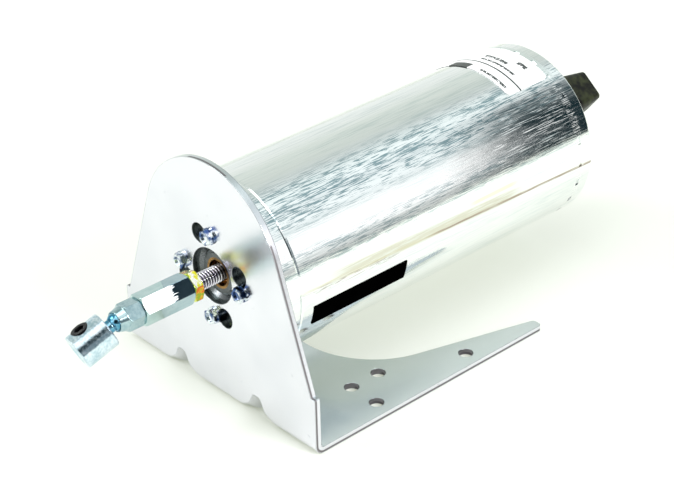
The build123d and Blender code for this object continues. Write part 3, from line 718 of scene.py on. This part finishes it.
# Painted light and shade: tones for the right flat, the lit upper right flat with its highlight, and
# the upper left flat.
right_flat_shade = ((0.42, (0.78, 0.20, 0.03)), (0.50, (0.82, 0.48, 0.05)), (0.56, (0.36, 0.46, 0.04)))
upper_right_flat_light = ((0.38, (0.80, 0.78, 0.04)), (0.45, (0.82, 0.86, 0.34)), (0.51, (0.90, 0.93, 0.78)))
upper_left_flat_shade = ((0.42, (0.62, 0.26, 0.02)), (0.50, (0.55, 0.42, 0.04)), (0.58, (0.20, 0.30, 0.04)))
for flat_number, tones in enumerate((right_flat_shade, upper_right_flat_light, upper_left_flat_shade)):
    flat_turn = math.radians(nut_turn + 60 * flat_number)
    on_flat = fade(tree, facing(tree, (math.cos(flat_turn), 0, math.sin(flat_turn))), 0.95, 0.98)
    overlay(tree, yellow, colour_ramp(tree, nut_spots["Cloud"], *tones), on_flat)
# Painted shade: the edges are darkened.
overlay(tree, yellow, (0.30, 0.24, 0.06), nut_edge["Rub"], 0.55)
tree.links.new(fade(tree, nut_spots["Fleck"], 0.3, 0.7, 0.08, 0.22), yellow["Roughness"])
tree.links.new(raise_surface(tree, nut_spots["Fleck"], 0.00001, nut_edge["Rounded"]), yellow["Normal"])
chamfered_nut.data.materials.append(jam_nut_yellow)
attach(chamfered_nut, "shaft")
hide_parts("jam_nut")

# Shaft coupling and ball socket: cut from drawn hexagon bar, which keeps its lines, and zinc
# plated. The coupling's upper right flat is painted white as a highlight and made rougher, as far as a
# ragged edge short of the nut; its other flats keep their teal coat, and its lower left flats are
# painted darker as shade. The socket, screwed into it, is darker. The edges of both are painted dark as
# shade.
coupling_zinc, tree, zinc = plated(
    "coupling_zinc",
    (0.46, 0.62, 0.62),
    (0.56, 0.70, 0.70),
    rough=0.045,
    stretch=(1300.0, 45.0, 1300.0),
    bump=0.000006,
    edge_tone=(0.20, 0.27, 0.26),
)
highlight_edge_front, highlight_edge_rear, highlight_edge_depth = -0.0876, -0.0868, 0.012
# Painted highlight on the upper right flat, and painted shade on the lower left flats.
highlight_flat = fade(tree, facing(tree, (0.77, 0, 0.64)), 0.90, 0.97)
underside_shade = fade(tree, facing(tree, (-0.77, 0, -0.64)), 0.3, 0.6)
highlight_edge_streak = drawn_grain(tree, 1500.0, 200.0, 2.0)
ragged = maths(tree, "MULTIPLY_ADD", highlight_edge_streak, highlight_edge_depth, place_group(tree, spot_group)["Y"])
highlight_area = product(tree, highlight_flat, fade(tree, ragged, highlight_edge_rear, highlight_edge_front))
past_highlight = product(tree, highlight_flat, fade(tree, ragged, highlight_edge_front, highlight_edge_rear))
overlay(tree, zinc, (0.93, 0.95, 0.95), highlight_flat)
overlay(tree, zinc, (0.30, 0.46, 0.54), past_highlight)
overlay(tree, zinc, (0.25, 0.29, 0.28), underside_shade)
plain_rough = zinc["Roughness"].links[0].from_socket
tree.links.new(maths(tree, "MULTIPLY_ADD", highlight_area, 0.40, plain_rough), zinc["Roughness"])
finish_node("shaft_coupling", coupling_zinc)
socket_zinc = plated(
    "socket_zinc",
    (0.31, 0.45, 0.49),
    (0.43, 0.57, 0.60),
    rough=0.10,
    stretch=(700.0, 700.0, 700.0),
    bump=0.000006,
    edge_tone=(0.16, 0.22, 0.22),
)[0]
finish_node("ball_socket", socket_zinc)

# Ball stud and seat: a polished ball on a short neck, blued by its plating, and the plastic
# ring that it bears on inside the socket.
ball_polish = plated(
    "ball_polish", (0.06, 0.26, 0.40), (0.34, 0.62, 0.76), rough=0.07, bump=0.000004
)[0]
finish_node("ball_stud", ball_polish)
seat_plastic = matt_coat(
    "seat_plastic",
    ((0.3, (0.70, 0.69, 0.64)), (0.7, (0.84, 0.83, 0.78))),
    size=900.0,
    cloud=200.0,
    bump=0.00001,
    Roughness=0.4,
)[0]
finish_node("ball_seat", seat_plastic)

# Rod connector: turned steel, zinc plated, on the ball's neck. Its free end is bored for a rod,
# which a black oxide set screw in its cross hole holds.
# Painted shade: the edges are darkened.
connector_zinc = plated(
    "connector_zinc",
    (0.44, 0.60, 0.68),
    (0.74, 0.84, 0.90),
    rough=0.14,
    stretch=(900.0, 900.0, 900.0),
    bump=0.00003,
    edge_tone=(0.30, 0.40, 0.45),
)[0]
finish_node("rod_connector", connector_zinc)
set_screw_black = plated(
    "set_screw_black", (0.004, 0.004, 0.005), (0.02, 0.02, 0.022), rough=0.4, edge_share=0.05
)[0]
finish_node("set_screw", set_screw_black)

# Rating label: white vinyl wrapped round the top of the can, with rounded corners. Its print is
# left generic: one rule along it, a dark block at its far end and a few rows of small dark marks.
print_edge, turn_edge = 0.0002, 0.3
rule_y, rule_width = 0.0965, 0.0004
block_start, block_end, block_rear = 97.0, 113.0, 0.0930
print_rows = (
    (0.0905, 0.0007, 77.0, 11.0),
    (0.1003, 0.0006, 86.0, 14.0),
    (0.1040, 0.0010, 92.0, 9.0),
    (0.1088, 0.0012, 76.0, 3.5),
)
label_vinyl, tree, vinyl = matt_coat(
    "label_vinyl",
    ((0.3, (0.88, 0.88, 0.89)), (0.7, (0.93, 0.93, 0.93))),
    size=900.0,
    cloud=60.0,
    bump=0.000005,
    Roughness=0.42,
)
at = place_group(tree, spot_group)
ink = product(
    tree,
    between(tree, at["Turn"], block_start - turn_edge, block_start, block_end, block_end + turn_edge),
    fade(tree, at["Y"], block_rear, block_rear - print_edge),
)
ink = maths(tree, "MAXIMUM", ink, band(tree, at["Y"], rule_y, rule_width, print_edge))
spot = shader_node(tree, "TexCoord").outputs["Object"]
marks = shader_node(tree, "TexNoise", {"Vector": spot, "Scale": 1100.0}).outputs["Fac"]
for row_y, half_height, middle, half_length in print_rows:
    row = product(
        tree,
        band(tree, at["Y"], row_y, half_height, print_edge),
        band(tree, at["Turn"], middle, half_length, 0.5),
        fade(tree, marks, 0.36, 0.46),
    )
    ink = maths(tree, "MAXIMUM", ink, row)
overlay(tree, vinyl, (0.010, 0.018, 0.016), ink, 0.97)
finish_node("rating_label", label_vinyl)

# Side strip: a plain length of matte black tape, stuck along the can's right side. It is fine
# grained and has no gloss.
strip_tape = matt_coat(
    "strip_tape",
    ((0.3, (0.0002, 0.0002, 0.0002)), (0.7, (0.0006, 0.0006, 0.0006))),
    size=1400.0,
    cloud=90.0,
    bump=0.00001,
    Roughness=0.9,
    Specular_IOR_Level=0.0,
)[0]
finish_node("side_strip", strip_tape)

# Return spring: coiled from round spring wire, with both ends ground flat. It pushes the piston
# back, and sits between the front wall and the piston.
spring_low, spring_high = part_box("return_spring")
spring_length = spring_high.y - spring_low.y
wire_radius = 0.002
coil_radius = (spring_high.x - spring_low.x) / 2 - wire_radius
spring_turns = 7
spring_steps, wire_sides = 40 * spring_turns, 10
end_inset = 0.001
vertices = []
for step in range(spring_steps + 1):
    share = step / spring_steps
    middle = spring_low.y + end_inset + (spring_length - 2 * end_inset) * share
    for side in range(wire_sides):
        round_wire = 2 * math.pi * side / wire_sides
        y = min(max(middle + wire_radius * math.sin(round_wire), spring_low.y), spring_high.y)
        radius = coil_radius + wire_radius * math.cos(round_wire)
        vertices.append(round_axis(y, radius, 2 * math.pi * spring_turns * share))
coil_spring = new_mesh_object("coil_spring", vertices, ring_faces(spring_steps + 1, wire_sides))
coil_spring.data.materials.append(spring_steel)
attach(coil_spring, "housing")
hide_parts("return_spring")
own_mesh(coil_spring)

# Piston, its clamping plate, nut and collar: pressed aluminium and plain steel, all sealed
# inside the can and fixed on the shaft.
piston_aluminium = plated("piston_aluminium", (0.66, 0.66, 0.67), (0.84, 0.84, 0.85), rough=0.30)[0]
finish_node("piston", piston_aluminium)
plain_steel = plated("plain_steel", (0.34, 0.35, 0.36), (0.56, 0.57, 0.58), rough=0.28)[0]
for node in ("piston_plate", "piston_nut", "shaft_collar"):
    finish_node(node, plain_steel)

# Rolling diaphragm: fabric-backed black rubber, clamped under the cover and on the piston. Its
# outer and inner sleeves meet in a round roll.
diaphragm_rubber = matt_coat(
    "diaphragm_rubber",
    ((0.3, (0.012, 0.012, 0.012)), (0.7, (0.03, 0.03, 0.03))),
    size=900.0,
    cloud=60.0,
    bump=0.00004,
    Roughness=0.8,
)[0]
rubber_low, rubber_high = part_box("diaphragm")
rubber_wall = 0.0008
rubber_sides = 96
sleeve_radius, piston_side = 0.0400, 0.0352
piston_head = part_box("piston")[1].y
disc_rear = piston_head + rubber_wall
disc_hole = shaft_radius + 0.0002
disc_corner = 0.003
roll_middle = (sleeve_radius + piston_side) / 2
roll_outer = (sleeve_radius - piston_side) / 2
roll_inner = roll_outer - rubber_wall
roll_centre = rubber_low.y + roll_outer
roll_steps = 8


def roll_arc(radius, side, outward):
    """A quarter turn of the roll, from its crest to a sleeve, on the outer or the inner side."""
    points = []
    for step in range(roll_steps + 1):
        turn = math.pi / 2 * step / roll_steps
        y = roll_centre - radius * math.cos(turn)
        points.append((y, roll_middle + side * radius * math.sin(turn)))
    return points if outward else points[::-1]


def wall_steps(start, end, radius, steps=12):
    """Points spaced evenly along a sleeve."""
    return [(start + (end - start) * step / steps, radius) for step in range(1, steps)]


bead_radius = (rubber_high.x - rubber_low.x) / 2
bead_front = rubber_high.y - 0.002
outer_wall_radius = sleeve_radius - rubber_wall
outer_profile = (
    roll_arc(roll_outer, 1, True)
    + wall_steps(roll_centre, bead_front, sleeve_radius)
    + [(bead_front, sleeve_radius), (bead_front, bead_radius)]
    + [(rubber_high.y, bead_radius), (rubber_high.y, outer_wall_radius)]
    + wall_steps(rubber_high.y, roll_centre, outer_wall_radius)
    + roll_arc(roll_inner, 1, False)
)
inner_wall_radius = piston_side + rubber_wall
inner_profile = (
    roll_arc(roll_inner, -1, True)
    + wall_steps(roll_centre, disc_rear - disc_corner, inner_wall_radius)
    + [(disc_rear - disc_corner, inner_wall_radius), (disc_rear, inner_wall_radius - disc_corner)]
    + [(disc_rear, disc_hole), (piston_head, disc_hole)]
    + [(piston_head, piston_side - disc_corner), (piston_head - disc_corner, piston_side)]
    + wall_steps(piston_head - disc_corner, roll_centre, piston_side)
    + roll_arc(roll_outer, -1, False)
)
roll_crest = rubber_low.y + rubber_wall / 2
side_turns = [2 * math.pi * side / rubber_sides for side in range(rubber_sides)]
for name, profile, start, end in (
    ("diaphragm_outer_sleeve", outer_profile, bead_front, None),
    ("diaphragm_inner_sleeve", inner_profile, None, piston_head - disc_corner),
):
    vertices = [round_axis(y, radius, turn) for y, radius in profile for turn in side_turns]
    faces = ring_faces(len(profile), rubber_sides, closed=True)
    sleeve = new_mesh_object(name, vertices, faces, smooth=False)
    sleeve.data.materials.append(diaphragm_rubber)
    start = 2 * roll_crest - end if start is None else start
    end = 2 * roll_crest - start if end is None else end
    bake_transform(sleeve)
    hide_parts("diaphragm")
